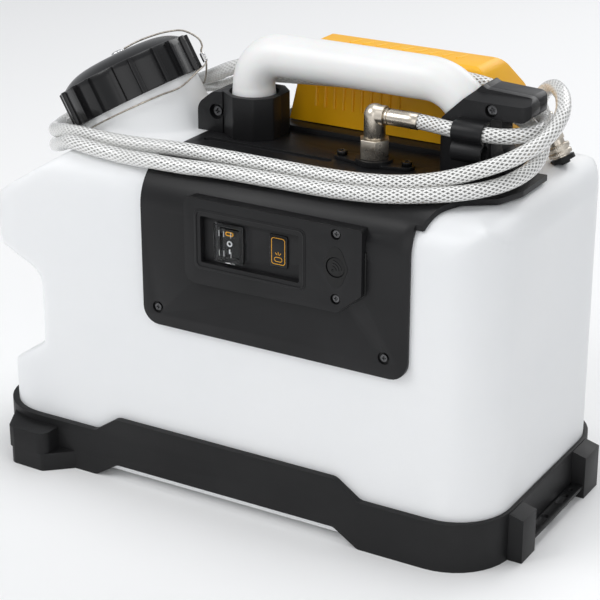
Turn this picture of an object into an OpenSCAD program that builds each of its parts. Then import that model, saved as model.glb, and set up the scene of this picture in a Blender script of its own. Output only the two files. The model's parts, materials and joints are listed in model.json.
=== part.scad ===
// Battery powered water tank with a pump, a winding hose and a control panel.
// Origin: centre of the footprint, on the ground. X runs from the cap end to the hose hook end,
// the control panel faces -Y, Z is up. Millimetres.

/* [Tank] */
// Length of the tank from the nose to the flat end
tank_len = 475; // [465:1:480]
// Width of the tank
tank_w = 230; // [228:1:232]
// Height of the tank's flat top above the ground
tank_top = 281; // [280:1:282]
// Wall thickness of the blow-moulded tank
tank_wall = 3.5; // [2.5:0.5:4]
// Radius of the tank's vertical corners
corner_r = 46; // [42:2:50]
// Radius of the long shoulders along the top
shoulder_r = 30; // [28:1:32]

/* [Neck and cap] */
// Lean of the filler neck towards the nose, in degrees
neck_lean = 30; // [28:1:32]
// Outer diameter of the filler neck
neck_d = 108; // [104:1:110]
// Outer diameter of the screw cap over its ribs
cap_d = 120; // [118:1:124]
// Height of the cap's ribbed side
cap_side_h = 31; // [28:1:34]
// Height of the cap's domed top above its side
cap_dome_h = 10; // [8:1:12]
// Lead of the neck thread for one turn
thread_lead = 8; // [6:1:10]

/* [Base] */
// Length of the base frame over its ring
base_len = 474; // [470:1:478]
// Width of the base frame over its ring
base_w = 242; // [241:1:244]
// Height of the ring at its ends
ring_h = 41.5; // [40:0.5:44]
// How far the middle of the ring is lifted off the ground
arch_rise = 14; // [10:1:16]

/* [Console] */
// Left and right edges of the control panel
panel_x0 = -75; // [-76:1:-74]
panel_x1 = 162; // [160:1:163]
// Lower edge of the control panel
panel_z0 = 152.5; // [150:0.5:156]
// Thickness of the console cover
console_t = 4.6; // [4:0.2:4.8]

/* [Handle and hose] */
// Diameter of the handle's grip
grip_d = 34.5; // [33:0.5:35]
// Height of the grip's axis above the ground
grip_z = 354; // [353:1:355]
// Outer diameter of the braided hose
hose_d = 12; // [11.5:0.5:12]
// Diameter of the lanyard wire
wire_d = 1.5; // [1.5:0.5:2]

/* [Hidden] */
$fn = 48;

fit = 0.4;                       // gap between two covers that meet
nose_x = -246.5;
end_x = nose_x + tank_len;
tank_hw = tank_w / 2;
tank_z0 = 3.7;                   // the tank stands on the thin floor of its ring
slope = 32;                      // fall of the nose's upper face, in degrees
foot_x = -237;
waist_x = -183;                  // wall of the hand notch between nose and foot
notch_z0 = 107;
notch_z1 = 158;
notch_mid = 130;

cap_c = [-158, 0, 295.4];        // centre of the cap's lower rim, on the neck's axis
neck_n = [-sin(neck_lean), 0, cos(neck_lean)];
neck_lip = 22;                   // neck's lip above the cap's lower rim
cap_bore = neck_d + 1;

console_y = -tank_hw - 5;        // outer face of the panel
console_r = shoulder_r + 5;      // outer radius where the console bends onto the deck
bend_y = -tank_hw + shoulder_r;
bend_z = tank_top - shoulder_r;
deck_z = tank_top + 5;
deck_y1 = 14;                    // rear edge of the deck, where the battery tray starts
ear_x = 205;                     // right end of the deck under the hose hook

well_x = [-60, 150];             // dry well for the pump under the deck
well_y1 = 92;
well_z0 = 188;
base_screw_x = 170;
base_screw_y = 97;

pod_y = console_y - 6;
pod_floor_y = console_y + 1;
switch_c = [8.8, 235.5];         // centres on the panel, X and Z
window_c = [52.1, 237];
button_c = [104.5, 236];
pod_screw_z = [210.5, 262];
panel_screw_c = [[-61, 167.5], [143, 168.5]];

grip_y = -6;
grip_r = grip_d / 2;
leg_r = 20;
leg_x = -39.5;
bend_r = 28;                     // bend of the grip's axis at the left leg
root_dip = 49;                   // fall of the grip's right root, in degrees
root_bend_r = 40;
root_bend_x = 118;

outlet_c = [83.5, -28];          // axis of the outlet fitting, X and Y
outlet_axis_z = 325.5;

hose_r = hose_d / 2;
clip_x = [155, 180];
clip_z = [311, 326];             // axes of the clip's two channels
clip_hose_y = -34.6;

tray_x = [-42, 170];
tray_y = [deck_y1 + fit, 105];
tray_rim_z = 290;
cover_x = [-27, 153];
cover_y = [29, 105];
cover_z = [290.6, 357];
cover_wall = 3;
hinge_p = [111, 293.5];          // cover hinge axis, Y and Z
knuckle_r = 3.2;

motor_c = [-8, 224];             // pump motor axis, Y and Z
rest_tilt = 28.6;                // lean of the stowed coupler away from the vertical
coupler_top = [186, 60, 318];    // where the hose enters the coupler's ferrule
coupler_len = 36;

tank_white = [0.93, 0.93, 0.92];
frame_black = [0.12, 0.12, 0.13];
lid_yellow = [0.98, 0.68, 0.03];
nickel = [0.72, 0.68, 0.62];
steel = [0.7, 0.7, 0.72];

// ---------- helpers ----------

function unit(v) = v / norm(v);

// Arc that rounds corner b between a and c with radius r
function corner_arc(a, b, c, r, n) =
    let (u = unit(a - b), v = unit(c - b), h = acos(max(-1, min(1, u * v))) / 2,
         m = b + unit(u + v) * r / sin(h), s = b + u * r / tan(h) - m, e = b + v * r / tan(h) - m,
         a0 = atan2(s[1], s[0]), d = atan2(s[0] * e[1] - s[1] * e[0], s * e))
    [for (i = [0:n]) m + r * [cos(a0 + d * i / n), sin(a0 + d * i / n)]];

// Outline through [x, y, radius] corners
function rounded(p, n = 6) = let (k = len(p), q = [for (c = p) [c[0], c[1]]])
    [for (i = [0:k - 1]) each p[i][2] == 0 ? [q[i]]
        : corner_arc(q[(i + k - 1) % k], q[i], q[(i + 1) % k], p[i][2], n)];

function rect(x0, y0, x1, y1, r) = [[x0, y0, r], [x1, y0, r], [x1, y1, r], [x0, y1, r]];

module prism_z(pts, z0, z1) translate([0, 0, z0]) linear_extrude(z1 - z0) polygon(pts);
module prism_y(pts, y0, y1)
    translate([0, y1, 0]) rotate([90, 0, 0]) linear_extrude(y1 - y0) polygon(pts);
module prism_x(pts, x0, x1)
    translate([x0, 0, 0]) rotate([90, 0, 90]) linear_extrude(x1 - x0) polygon(pts);
module box(lo, hi) translate(lo) cube(hi - lo);
module rod_x(x0, x1, y, z, r) translate([x0, y, z]) rotate([0, 90, 0]) cylinder(r = r, h = x1 - x0);
module rod_y(y0, y1, x, z, r) translate([x, y1, z]) rotate([90, 0, 0]) cylinder(r = r, h = y1 - y0);
module rod_z(z0, z1, x, y, r) translate([x, y, z0]) cylinder(r = r, h = z1 - z0);

// Local frame of the neck: Z along its axis, zero at the cap's lower rim
module on_neck() translate(cap_c) rotate([0, -neck_lean, 0]) children();

// Screw whose head faces -Y: pan head with a cross recess and a plain shank
module screw_y(x, y, z, head_r, shank_r, shank_l) {
    difference() {
        rod_y(y, y + head_r * 0.7, x, z, head_r);
        for (a = [0, 90]) translate([x, y + head_r * 0.2, z]) rotate([0, a, 0])
            cube([head_r * 1.1, head_r * 0.5, head_r * 0.28], center = true);
    }
    rod_y(y + head_r * 0.7, y + head_r * 0.7 + shank_l, x, z, shank_r);
}

// Tube swept along a route with upright rings
function ring_at(p, i, r, n) =
    let (k = len(p), t = unit(p[min(i + 1, k - 1)] - p[max(i - 1, 0)]),
         s = unit(cross(t, abs(t[2]) > 0.9 ? [0, 1, 0] : [0, 0, 1])), w = cross(s, t))
    [for (j = [0:n - 1]) p[i] + r * (cos(360 * j / n) * s + sin(360 * j / n) * w)];

module tube(p, r, n) {
    k = len(p);
    polyhedron(
        points = [for (i = [0:k - 1]) each ring_at(p, i, r, n)],
        faces = concat(
            [[for (j = [0:n - 1]) j]],
            [[for (j = [0:n - 1]) (k - 1) * n + n - 1 - j]],
            [for (i = [0:k - 2], j = [0:n - 1]) let (a = i * n + j, b = i * n + (j + 1) % n)
                [a, a + n, b]],
            [for (i = [0:k - 2], j = [0:n - 1]) let (a = i * n + j, b = i * n + (j + 1) % n)
                [b, a + n, b + n]]),
        convexity = 12);
}

// ---------- tank ----------

// Side view of the tank: foot, hand notch, nose, sloping shoulder, flat top and end
function tank_side() = rounded([
        [end_x, tank_z0, 12], [foot_x, tank_z0, 12], [foot_x, 72, 22], [waist_x, notch_z0, 8],
        [waist_x, notch_z1 + 12, 18], [-215, 184, 14], [nose_x, 184, 22],
        [nose_x, tank_top - (-151 - nose_x) * tan(slope), 26], [-151, tank_top, 40],
        [end_x, tank_top, shoulder_r]], 8);

// Plan of the tank from x0 on, between two heights
module tank_plan(x0, inset, z0, z1)
    prism_z(rounded(rect(x0 + inset, -tank_hw + inset, end_x - inset, tank_hw - inset,
        corner_r - inset), 10), z0, z1);

module tank_form(inset) {
    intersection() {
        union() {
            tank_plan(foot_x, inset, tank_z0, notch_mid);
            tank_plan(nose_x, inset, notch_mid, tank_top);
        }
        translate([0, tank_hw, 0]) rotate([90, 0, 0]) linear_extrude(tank_w)
            offset(delta = -inset) polygon(tank_side());
        prism_x(rounded([[-tank_hw + inset, tank_z0 + inset, 6], [tank_hw - inset, tank_z0 + inset, 6],
            [tank_hw - inset, tank_top - inset, shoulder_r - inset],
            [-tank_hw + inset, tank_top - inset, shoulder_r - inset]], 8), nose_x, end_x);
    }
}

// Dry well: the front part lies under the deck, the deeper rear part only under the battery tray
module well(grow) {
    box([well_x[0] - grow, -tank_hw - 1, well_z0 - grow],
        [well_x[1] + grow, deck_y1 + 1.5 + grow, tank_top + 1]);
    box([tray_x[0] + 2 - grow, -tank_hw - 1, well_z0 - grow],
        [well_x[1] + grow, well_y1 + grow, tank_top + 1]);
}

// Places of the four screws that hold the ring
module at_base_screws() for (x = [-base_screw_x, base_screw_x], y = [-base_screw_y, base_screw_y])
    translate([x, y, 0]) children();

module tank() color(tank_white) {
    difference() {
        union() {
            tank_form(0);
            on_neck() translate([0, 0, -50]) cylinder(d = neck_d, h = 50 + neck_lip);
        }
        difference() {
            tank_form(tank_wall);
            well(tank_wall);
        }
        well(0);
        on_neck() translate([0, 0, -32]) cylinder(d = neck_d - 2 * tank_wall - 4, h = 32 + neck_lip + 1);
        rod_z(well_z0 - tank_wall - 1, well_z0 + 1, -40, -8, 7.2);
        at_base_screws() cylinder(r = 2.2, h = 6);
    }
}

// ---------- cap ----------

cap_ribs = 9;                    // pairs of grip ribs round the side

module cap_shell() color(frame_black) on_neck() difference() {
    union() {
        cylinder(d = cap_d - 3, h = cap_side_h);
        for (i = [0:cap_ribs - 1], s = [-1, 1]) rotate(360 * i / cap_ribs + 8 * s)
            translate([cap_d / 2 - 3, -2, 0]) cube([3, 4, cap_side_h]);
        translate([0, 0, cap_side_h]) cylinder(d1 = cap_d - 6, d2 = 62, h = cap_dome_h);
    }
    translate([0, 0, -1]) cylinder(d = cap_bore, h = neck_lip + 4.4);
    translate([0, 0, neck_lip]) cylinder(d = 8.1, h = 60);
}

module cap_gasket() color("dimgray") on_neck() translate([0, 0, neck_lip + 0.1]) difference() {
    cylinder(d = cap_bore - 1, h = 3);
    translate([0, 0, -1]) cylinder(d = neck_d - 18, h = 6);
}

module cap_stud() color(steel) on_neck() {
    translate([0, 0, neck_lip + 0.2]) cylinder(r = 9, h = 3);
    translate([0, 0, neck_lip + 3]) cylinder(r = 4, h = cap_side_h + cap_dome_h - neck_lip - 2.4);
    translate([0, 0, cap_side_h + cap_dome_h + 0.4]) cylinder(r = 5.5, h = 2.6);
}

// The lanyard runs over the cap's edge in one plane, through the crimp, once round the neck
// and back into the crimp's second bore
crimp_a = 27.4;                  // direction of the crimp round the neck
crimp_reach = 65.1;              // its distance from the neck's axis
crimp_z = [3.2, 11.2];
crimp_pitch = 1.2;               // each bore's distance from the crimp's middle
wire_loop_r = neck_d / 2 + 3.2;

// Point at a distance t from the neck's axis and height z, beside the crimp's plane
function over(t, z, side) = [t * cos(crimp_a) - side * crimp_pitch * sin(crimp_a),
    t * sin(crimp_a) + side * crimp_pitch * cos(crimp_a), z];

wire_route = concat(
    [for (p = [[6.4, 43], [17, 43.6], [30, 42.8], [45, 40.2], [58.6, 35], [67.2, 24.5], [68, 17],
        [crimp_reach, 12.5], [crimp_reach, 2.6]]) over(p[0], p[1], 1)],
    [for (a = [46:20:346]) [wire_loop_r * cos(a), wire_loop_r * sin(a), -8.5 - 2.5 * sin(a)]],
    [[60.5, 9, -2], over(crimp_reach, 2.2, -1), over(crimp_reach, 8.5, -1)]);

module lanyard_wire() color(steel) on_neck() tube(wire_route, wire_d / 2, 6);

module lanyard_crimp() color("silver") on_neck() rotate(crimp_a)
    translate([crimp_reach, 0, crimp_z[0]]) difference() {
        union() {
            for (side = [-1, 1]) translate([0, side * crimp_pitch]) cylinder(r = 2.3, h = 8);
            translate([-2.3, -crimp_pitch, 0]) cube([4.6, 2 * crimp_pitch, 8]);
        }
        for (side = [-1, 1]) translate([0, side * crimp_pitch, -1])
            cylinder(r = wire_d / 2 + 0.1, h = 10);
    }

// ---------- base ----------

ring_x0 = -242;
ring_x1 = ring_x0 + base_len;
ring_corner_r = corner_r + 5;
arch_x = [-118, 112];            // middle of the arch's sloped ends

// Arch in side view; lift and height move it up for the ring's upper edge
function arch_side(z_end, z_mid) = let (run = 11)
    [[ring_x0 - 30, z_end, 0], [arch_x[0] - run, z_end, 10], [arch_x[0] + run, z_mid, 10],
     [arch_x[1] - run, z_mid, 10], [arch_x[1] + run, z_end, 10], [ring_x1 + 30, z_end, 0]];

module bumper(side) scale([1, side, 1]) {
    prism_z(rounded([[-226, -100, 0], [-206, -139, 4], [-200, -141, 4], [-168, -141, 9],
        [-168, -118, 0], [-200, -118, 0]]), 16, 35);
    prism_z(rounded([[-222, -100, 0], [-206, -137, 6], [-202, -139, 4], [-172, -140, 6],
        [-150, -120, 0], [-200, -110, 0]]), 0, 16);
}

module base_ring() color(frame_black) {
    difference() {
        intersection() {
            prism_z(rounded(rect(ring_x0, -base_w / 2, ring_x1, base_w / 2, ring_corner_r), 10),
                0, 57);
            prism_y(rounded(concat(arch_side(ring_h, ring_h + 15),
                [[ring_x1 + 30, 0, 0], [arch_x[1] + 11, 0, 8], [arch_x[1] - 11, arch_rise, 8],
                 [arch_x[0] + 11, arch_rise, 8], [arch_x[0] - 11, 0, 8], [ring_x0 - 30, 0, 0]])),
                -base_w, base_w);
        }
        tank_plan(foot_x, -0.3, 3.6, 70);
        tank_plan(foot_x, 22, -1, 70);
        prism_y([[-129, -1], [-129, 3.7], [123, 3.7], [123, -1]], -tank_hw - 0.3, tank_hw + 0.3);
        at_base_screws() {
            translate([0, 0, -1]) cylinder(r = 2.2, h = 10);
            translate([0, 0, -1]) cylinder(r = 4.5, h = 3.2);
        }
    }
    for (side = [-1, 1]) difference() {
        bumper(side);
        prism_z(rounded(rect(ring_x0 + 1, -base_w / 2 + 1, ring_x1, base_w / 2 - 1,
            ring_corner_r), 10), -1, 60);
    }
    for (y = [[-76, -51.5], [47.6, 76]])
        prism_y([[ring_x1 - 3, 0], [243.9, 0], [243.9, 37], [ring_x1 - 3, 41]], y[0], y[1]);
}

module latch_plate() color(frame_black) difference() {
    box([ring_x1 + 0.1, -51.4, 8.6], [242.5, 47.5, 11.6]);
    for (y = [-22, 18]) prism_z(rounded(rect(233.5, y - 9, 239.5, y + 9, 2.9)), 8, 12);
    for (y = [-40, 36]) rod_z(8, 12, 236.5, y, 2.2);
}

module base_screws() color(steel) at_base_screws() {
    translate([0, 0, 0.3]) cylinder(r = 4.2, h = 1.8);
    translate([0, 0, 2]) cylinder(r = 2.1, h = 3.8);
}

// ---------- console ----------

// Cross-section of the console: panel, bend and deck, as an outline in Y and Z
function console_profile(r, y_out, z_out) = concat(
    [[y_out, panel_z0]],
    [for (a = [180:-9:90]) [bend_y + r * cos(a), bend_z + r * sin(a)]],
    [[deck_y1, z_out]]);

function console_shell() = concat(
    console_profile(console_r, console_y, deck_z),
    [for (i = [11 + 1:-1:0])
        console_profile(console_r - console_t, console_y + console_t, deck_z - console_t)[i]]);

deck_plan = [[panel_x0, -110, 0], [168, -110, 0], [172, -96, 4], [180, -72, 10], [203, -56, 10],
    [ear_x + 6, -30, 8], [ear_x + 6, deck_y1 + 1, 0], [panel_x0, deck_y1 + 1, 0]];

module console_cover() color(frame_black) difference() {
    intersection() {
        prism_x(console_shell(), panel_x0, ear_x + 6);
        union() {
            prism_y(rounded([[panel_x0, panel_z0, 14], [panel_x1, panel_z0, 14],
                [panel_x1, deck_z + 1, 0], [panel_x0, deck_z + 1, 0]]), console_y - 1, deck_y1 + 1);
            prism_z(rounded(deck_plan), bend_z + 20, deck_z + 1);
        }
    }
    box([switch_c[0] - 11.2, console_y - 2, switch_c[1] - 14.2],
        [switch_c[0] + 11.2, console_y + 8, switch_c[1] + 14.2]);
    box([window_c[0] - 6, console_y - 2, window_c[1] - 11],
        [window_c[0] + 6, console_y + 8, window_c[1] + 11]);
    rod_y(console_y - 2, console_y + 8, button_c[0], button_c[1], 6.2);
    for (c = panel_screw_c) {
        rod_y(console_y - 1, console_y + 2.4, c[0], c[1], 5);
        rod_y(console_y - 1, console_y + 8, c[0], c[1], 2.1);
    }
    for (z = pod_screw_z) rod_y(console_y - 4, console_y + 20, button_c[0], z, 1.8);
    rod_z(deck_z - 8, deck_z + 1, outlet_c[0], outlet_c[1], 8.3);
    for (s = [-1, 1]) rod_z(deck_z - 8, deck_z + 1, outlet_c[0] + 28.5 * s, outlet_c[1], 1.8);
    // long drip groove in the deck
    prism_z(rounded(rect(-66, -44, 52, -36.5, 3.7)), deck_z - 2, deck_z + 1);
}

pod_outline = [[-30, 268.5, 6], [-30, 198, 10], [106, 200, 3], [126.5, 217, 3], [126.5, 268.5, 2]];

module control_pod() color(frame_black) difference() {
    prism_y(rounded(pod_outline), pod_y, bend_y);
    // sits on the console's outer face
    prism_x(concat(console_profile(console_r + 0.05, console_y - 0.05, deck_z), [[deck_y1, panel_z0]]),
        -40, 140);
    prism_y(rounded(rect(-15, 217, 73, 255, 1.5)), pod_y - 1, pod_floor_y);
    rod_y(pod_y - 1, console_y + 2, button_c[0], button_c[1], 8.1);
    for (z = pod_screw_z) {
        rod_y(pod_y - 1, pod_y + 3.2, button_c[0], z, 4.2);
        rod_y(pod_y - 1, console_y + 20, button_c[0], z, 1.8);
    }
}

module switch_body() color([0.05, 0.05, 0.05]) difference() {
    union() {
        box([switch_c[0] - 11, console_y - 0.1, switch_c[1] - 14],
            [switch_c[0] + 11, console_y + 22, switch_c[1] + 14]);
        box([switch_c[0] - 12.2, console_y - 1.6, switch_c[1] - 15.2],
            [switch_c[0] + 12.2, console_y - 0.1, switch_c[1] + 15.2]);
    }
    box([switch_c[0] - 8.6, console_y - 3, switch_c[1] - 11.8],
        [switch_c[0] + 8.6, console_y + 12, switch_c[1] + 11.8]);
    rod_x(switch_c[0] - trunnion_reach - 0.2, switch_c[0] + trunnion_reach + 0.2, console_y + 2,
        switch_c[1], trunnion_r + 0.06);
}

// Rocker that tips about a level axis through the middle of the switch
trunnion_r = 1.5;
trunnion_reach = 9.6;
rocker_side = [[-11, 1.6], [-11, -3.4], [0, -1.9], [11, -3.4], [11, 1.6], [4, 7], [-4, 7]];

module switch_rocker() color([0.03, 0.03, 0.03]) translate([0, console_y + 2, switch_c[1]]) {
    prism_x([for (p = rocker_side) [p[1], p[0]]], switch_c[0] - 8.3, switch_c[0] + 8.3);
    rod_x(switch_c[0] - trunnion_reach, switch_c[0] + trunnion_reach, 0, 0, trunnion_r);
}

module switch_boot() color([0.9, 0.9, 0.9, 0.3]) difference() {
    box([switch_c[0] - 12.2, console_y - 5.4, switch_c[1] - 15.2],
        [switch_c[0] + 12.2, console_y - 1.65, switch_c[1] + 15.2]);
    box([switch_c[0] - 11.3, console_y - 4.6, switch_c[1] - 14.3],
        [switch_c[0] + 11.3, console_y, switch_c[1] + 14.3]);
}

module indicator_window() color([0.1, 0.1, 0.1])
    prism_y(rounded(rect(window_c[0] - 8, window_c[1] - 13, window_c[0] + 8, window_c[1] + 13, 1.5)),
        console_y - 1.2, console_y - 0.05);

module indicator_led() color("orange")
    rod_y(console_y + 0.5, console_y + 6, window_c[0], window_c[1] + 6, 1.6);

module pairing_button() color([0.08, 0.08, 0.08]) {
    rod_y(pod_y + 0.4, console_y - 1.6, button_c[0], button_c[1], 7.9);
    rod_y(console_y - 1.6, console_y + 6, button_c[0], button_c[1], 3);
}

module control_board() color("darkgreen") {
    box([-30, console_y + 25, 200], [128, console_y + 26.6, 266]);
    rod_y(console_y + 8.2, console_y + 25, button_c[0], button_c[1], 3.4);
    box([window_c[0] - 5, console_y + 8, window_c[1] - 8],
        [window_c[0] + 5, console_y + 25, window_c[1] + 8]);
}

module panel_screws() color(steel)
    for (c = panel_screw_c) screw_y(c[0], console_y + 0.3, c[1], 3, 1.9, 2.2);

module pod_screws() color(steel)
    for (z = pod_screw_z) screw_y(button_c[0], pod_y + 1.1, z, 3, 1.5, 9);

// ---------- handle and brackets ----------

// Left leg, bend, level grip and the bend down into the right bracket
module grip_path() {
    elbow_x = leg_x + bend_r;
    translate([leg_x, grip_y, 296]) cylinder(r1 = leg_r, r2 = grip_r, h = grip_z - bend_r - 296);
    translate([elbow_x, grip_y, grip_z - bend_r]) rotate([90, 0, 180]) rotate_extrude(angle = 90)
        translate([bend_r, 0]) circle(r = grip_r);
    rod_x(elbow_x, root_bend_x, grip_y, grip_z, grip_r);
    translate([root_bend_x, grip_y, grip_z - root_bend_r]) rotate([-90, -90, 0])
        rotate_extrude(angle = root_dip) translate([root_bend_r, 0]) circle(r = grip_r);
}

// Straight spigot of the grip inside the right bracket, rooted 2 mm deep in the bend
module root_stub(r, l)
    translate([root_bend_x + root_bend_r * sin(root_dip), grip_y,
        grip_z - root_bend_r * (1 - cos(root_dip))])
    rotate([0, 90 + root_dip, 0]) translate([0, 0, -2]) cylinder(r = r, h = l + 2);

module handle() color(tank_white) difference() {
    union() {
        grip_path();
        root_stub(grip_r - 0.2, 14);
    }
    // the leg is cored from below
    rod_z(295, grip_z - bend_r - 2, leg_x, grip_y, grip_r - 4);
}

left_plan = [[-64, -18, 4], [-44, -32, 3], [-26, -30, 4], [-14, -18, 3], [-14, 8, 3], [-26, 20, 4],
    [-52, 20, 4], [-65, 8, 4]];
left_lug = [[-84, deck_z + 0.1, 0], [-60, deck_z + 0.1, 0], [-60, 321, 0], [-70, 319.5, 6],
    [-84, 308, 12]];
left_screw = [-66, 303.5];       // clamp screws of the two brackets, X and Z
right_screw = [180, 342];

module left_bracket_half(y0, y1) color(frame_black) difference() {
    intersection() {
        union() {
            prism_z(rounded(left_plan, 3), deck_z + 0.1, 321);
            prism_y(rounded(left_lug), -22, 10);
        }
        box([-100, y0, 280], [50, y1, 330]);
    }
    translate([leg_x, grip_y, 292]) cylinder(r = leg_r + 0.3, h = 40);
    rod_y(-40, 30, left_screw[0], left_screw[1], 2.3);
    rod_y(-40, -17, left_screw[0], left_screw[1], 6.5);
    rod_y(5, 30, left_screw[0], left_screw[1], 4.6);
}

module left_bracket_front() left_bracket_half(-33, grip_y - 0.1);
module left_bracket_rear() left_bracket_half(grip_y + 0.1, 21);

right_y = [-26, 13];             // front and rear faces of the right bracket
right_side = [[136, deck_z + 0.1, 0], [203, deck_z + 0.1, 4], [203, 300, 6], [182, 304, 6], [180, 336, 2],
    [211, 336, 7], [211, 352.5, 7], [170, 354.5, 3], [166, 357, 2], [136, 328, 3]];

module right_bracket_half(y0, y1) color(frame_black) difference() {
    intersection() {
        prism_y(rounded(right_side, 4), right_y[0], right_y[1]);
        prism_z(rounded(rect(136, right_y[0], 211, right_y[1], 8), 5), 280, 362);
        box([100, y0, 280], [220, y1, 362]);
    }
    root_stub(grip_r + 0.3, 15);
    // the arm's upper front edge slopes back
    prism_x([[right_y[0] - 1, 347.7], [-13, 352], [-13, 362], [right_y[0] - 1, 362]], 130, 220);
    rod_y(-40, 30, right_screw[0], right_screw[1], 2.3);
    rod_y(-40, right_y[0] + 5, right_screw[0], right_screw[1], 5);
    rod_y(right_y[1] - 5, 30, right_screw[0], right_screw[1], 4.6);
    rod_y(-40, 30, 192, 293, 2.3);
}

module right_bracket_front() right_bracket_half(right_y[0] - 1, grip_y - 0.1);
module right_bracket_rear() right_bracket_half(grip_y + 0.1, right_y[1] + 1);

module bracket_screws() color(steel) {
    screw_y(left_screw[0], -19.85, left_screw[1], 4, 2.2, 24);
    screw_y(right_screw[0], right_y[0] + 2.15, right_screw[1], 4, 2.2, 26);
}

module hose_clip() color(frame_black) difference() {
    union() {
        for (z = clip_z) rod_x(clip_x[0], clip_x[1], clip_hose_y, z, 8.4);
        box([clip_x[0], clip_hose_y + 0.6, clip_z[0] - 8], [clip_x[1], right_y[0] - 0.1, clip_z[1] + 8]);
    }
    for (z = clip_z) {
        rod_x(clip_x[0] - 1, clip_x[1] + 1, clip_hose_y, z, hose_r + 0.2);
        // mouth of the channel, towards the deck
        box([clip_x[0] - 1, clip_hose_y - 2, z - 12], [clip_x[1] + 1, clip_hose_y + 2, z]);
    }
}

// ---------- outlet ----------

module outlet_flange() color(frame_black) difference() {
    union() {
        rod_z(deck_z + 0.1, 291, outlet_c[0], outlet_c[1], 15);
        prism_z(rounded([[outlet_c[0] - 34, outlet_c[1] - 6, 5.5], [outlet_c[0], outlet_c[1] - 13, 6],
            [outlet_c[0] + 34, outlet_c[1] - 6, 5.5], [outlet_c[0] + 34, outlet_c[1] + 6, 5.5],
            [outlet_c[0], outlet_c[1] + 13, 6], [outlet_c[0] - 34, outlet_c[1] + 6, 5.5]]),
            deck_z + 0.1, 288.6);
    }
    rod_z(280, 295, outlet_c[0], outlet_c[1], 8.1);
    for (s = [-1, 1]) rod_z(280, 295, outlet_c[0] + 28.5 * s, outlet_c[1], 2.1);
}

module flange_screws() color([0.15, 0.15, 0.15]) for (s = [-1, 1])
    translate([outlet_c[0] + 28.5 * s, outlet_c[1], 288.7]) {
        difference() {
            cylinder(r = 4.2, h = 3.4);
            for (a = [0, 90]) rotate(a) translate([-2.4, -0.6, 2.2]) cube([4.8, 1.2, 2]);
        }
        translate([0, 0, -7.4]) cylinder(r = 1.7, h = 7.4);
    }

module outlet_nut() color(nickel) difference() {
    translate([outlet_c[0], outlet_c[1], 291.1]) cylinder(r = 12.6, h = 15.5, $fn = 6);
    rod_z(290, 320, outlet_c[0], outlet_c[1], 7.6);
}

module outlet_elbow() color(nickel) difference() {
    union() {
        rod_z(274, 306.6, outlet_c[0], outlet_c[1], 7.5);
        rod_z(306.8, outlet_axis_z, outlet_c[0], outlet_c[1], 8.6);
        translate([outlet_c[0], outlet_c[1], outlet_axis_z]) sphere(r = 8.6);
        rod_x(outlet_c[0], 93, outlet_c[1], outlet_axis_z, 8);
        rod_z(306.5, 306.9, outlet_c[0], outlet_c[1], 7.5);
    }
    rod_z(273, outlet_axis_z, outlet_c[0], outlet_c[1], 4);
    rod_x(outlet_c[0], 94, outlet_c[1], outlet_axis_z, 4);
}

module elbow_ferrule() color(nickel) difference() {
    rod_x(93.1, 122, outlet_c[1], outlet_axis_z, 6.6);
    rod_x(93, 123, outlet_c[1], outlet_axis_z, 4);
}

// ---------- hose ----------

hose_route = [
    [122, -28, 325.5], [125, -28, 325.5], [137, -30.8, 325.7], [152, clip_hose_y, 326],
    [166, clip_hose_y, 326], [181, clip_hose_y, 326],
    // first turn round the hook's arm and back between the handle and the battery cover
    [196, -30.5, 326], [206, -21.5, 326.5], [211.5, -8, 327], [211, 5, 327], [206, 17, 329],
    [190, 23.5, 335.5], [165, 23, 344], [140, 20.5, 349], [105, 20, 349], [65, 20, 348],
    [25, 20, 346], [-15, 20, 343], [-50, 21, 337], [-80, 26, 327],
    // behind the neck and round its foot on the sloping nose
    [-105, 40, 315], [-130, 59, 303], [-158, 68, 290], [-187, 64.5, 277], [-209, 48, 265],
    [-223, 24, 256], [-227, -4, 252.5], [-220, -33, 256], [-202, -60, 264], [-178, -84, 275],
    [-156, -98.5, 284.2], [-130, -103.5, 284],
    // along the front edge of the deck
    [-100, -105, 282.8], [-73, -109, 284.8], [-40, -109, 285.5], [-10, -107, 286.5], [40, -106, 287],
    [90, -105, 287.5], [130, -101, 289.5], [165, -90, 292.5], [190, -72, 294.5], [206, -48, 297],
    // second turn, under the first behind the handle and above it at the neck
    [212, -20, 301], [209, 6, 308], [198, 22, 316], [180, 25, 324], [160, 22.5, 330],
    [138, 20.5, 335], [105, 20, 336.3], [65, 20, 335.3], [25, 20, 333], [-15, 20, 330],
    [-50, 27.5, 324], [-80, 36, 312.5], [-107, 54, 301], [-134, 73, 293], [-162, 84, 285],
    [-192, 80, 276.5], [-214, 60, 271], [-226, 30, 268.5], [-229, -2, 268], [-220, -33, 269.5],
    [-202, -59, 276.5], [-176, -77, 284.5], [-148, -87, 288.5], [-120, -90, 288.8],
    [-90, -91.5, 290.3], [-55, -93, 292.8], [-10, -94, 293.6], [40, -94, 293.6], [90, -93.5, 294],
    [130, -91, 296.5], [162, -82, 301],
    // free end rises, loops over and comes down into the stowed coupler
    [188, -68, 308], [211, -48, 317], [225, -24, 328], [225, 2, 338], [216, 25, 344.5],
    [204, 42, 346], [195, 52, 343.5], [186.5, 58.5, 337], [182.5, 60, 327.5],
    [184.6, 60, 320.6], coupler_top];

module supply_hose() color([0.9, 0.9, 0.88]) tube(hose_route, hose_r, 8);

// Local frame of the stowed coupler: Z points back up the hose from the tank's top
module on_coupler() translate(coupler_top) rotate([0, 180 - rest_tilt, 0]) children();

module coupler_ferrule() color(nickel) on_coupler() difference() {
    cylinder(r = 7.2, h = 17);
    translate([0, 0, -1]) cylinder(r = 4, h = 20);
}

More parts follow.
